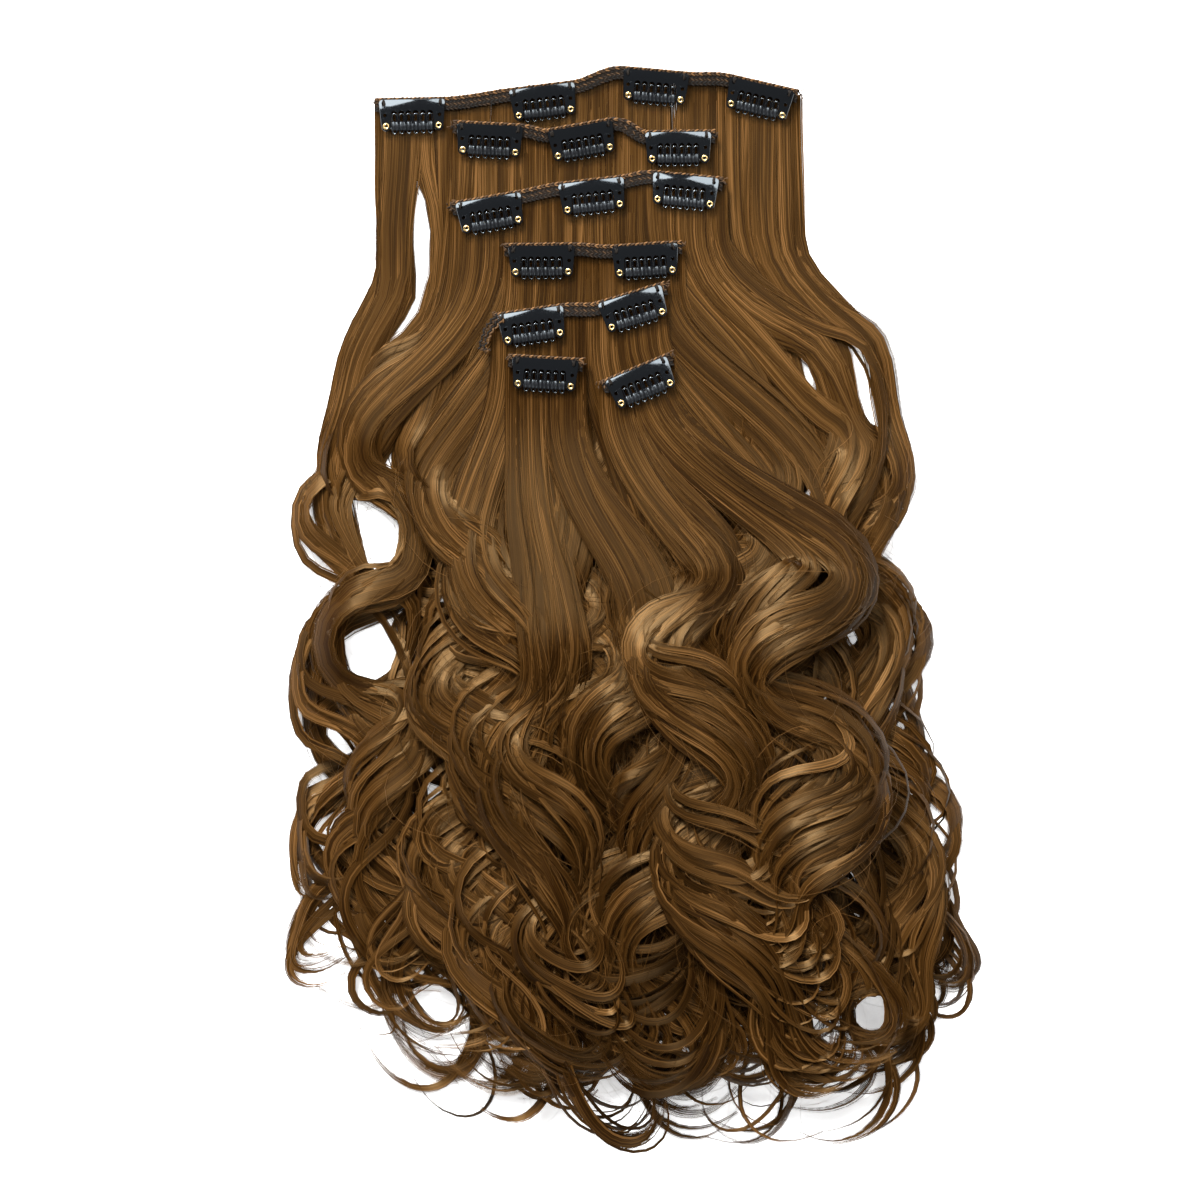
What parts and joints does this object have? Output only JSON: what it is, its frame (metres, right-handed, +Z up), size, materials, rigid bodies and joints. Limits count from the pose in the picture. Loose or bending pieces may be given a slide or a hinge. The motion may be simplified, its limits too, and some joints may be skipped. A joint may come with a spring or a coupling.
{
  "type": "clip-in hair extension of seven wefts",
  "caption": "Wavy synthetic clip-in hair extension laid flat: sewn wefts of brown hair in layers, each with black snap clips along its track.",
  "frame": {"origin": "on the surface that the hair lies on, under the middle of the widest track", "axes": "+Y from the hair's ends towards the tracks, +X to the right as seen from above, +Z up, towards the clips' faces"},
  "size_m": [0.3301, 0.5304, 0.0374],
  "materials": {
    "hair_fibre": "glossy wavy synthetic fibre, medium golden brown with darker depths",
    "track_thread": "matt dark brown and black chain-stitched thread",
    "clip_steel": "gloss black enamel on spring steel",
    "clip_rubber": "satin black ribbed silicone sleeve",
    "eyelet_brass": "bright rolled brass"
  },
  "bodies": {
    "root": {"hair_1": "hair_fibre", "track_1": "track_thread", "clip_1_1_plate": "clip_steel", "clip_1_1_grip": "clip_rubber", "clip_1_2_plate": "clip_steel", "clip_1_2_grip": "clip_rubber", "clip_1_3_plate": "clip_steel", "clip_1_3_grip": "clip_rubber", "clip_1_4_plate": "clip_steel", "clip_1_4_grip": "clip_rubber", "hair_2": "hair_fibre", "track_2": "track_thread", "clip_2_1_plate": "clip_steel", "clip_2_1_grip": "clip_rubber", "clip_2_2_plate": "clip_steel", "clip_2_2_grip": "clip_rubber", "clip_2_3_plate": "clip_steel", "clip_2_3_grip": "clip_rubber", "hair_3": "hair_fibre", "track_3": "track_thread", "clip_3_1_plate": "clip_steel", "clip_3_1_grip": "clip_rubber", "clip_3_2_plate": "clip_steel", "clip_3_2_grip": "clip_rubber", "clip_3_3_plate": "clip_steel", "clip_3_3_grip": "clip_rubber", "hair_4": "hair_fibre", "track_4": "track_thread", "clip_4_1_plate": "clip_steel", "clip_4_1_grip": "clip_rubber", "clip_4_2_plate": "clip_steel", "clip_4_2_grip": "clip_rubber", "hair_5": "hair_fibre", "track_5": "track_thread", "clip_5_1_plate": "clip_steel", "clip_5_1_grip": "clip_rubber", "clip_5_2_plate": "clip_steel", "clip_5_2_grip": "clip_rubber", "hair_6": "hair_fibre", "track_6": "track_thread", "clip_6_1_plate": "clip_steel", "clip_6_1_grip": "clip_rubber", "hair_7": "hair_fibre", "track_7": "track_thread", "clip_7_1_plate": "clip_steel", "clip_7_1_grip": "clip_rubber"}
  },
  "joints": []
}
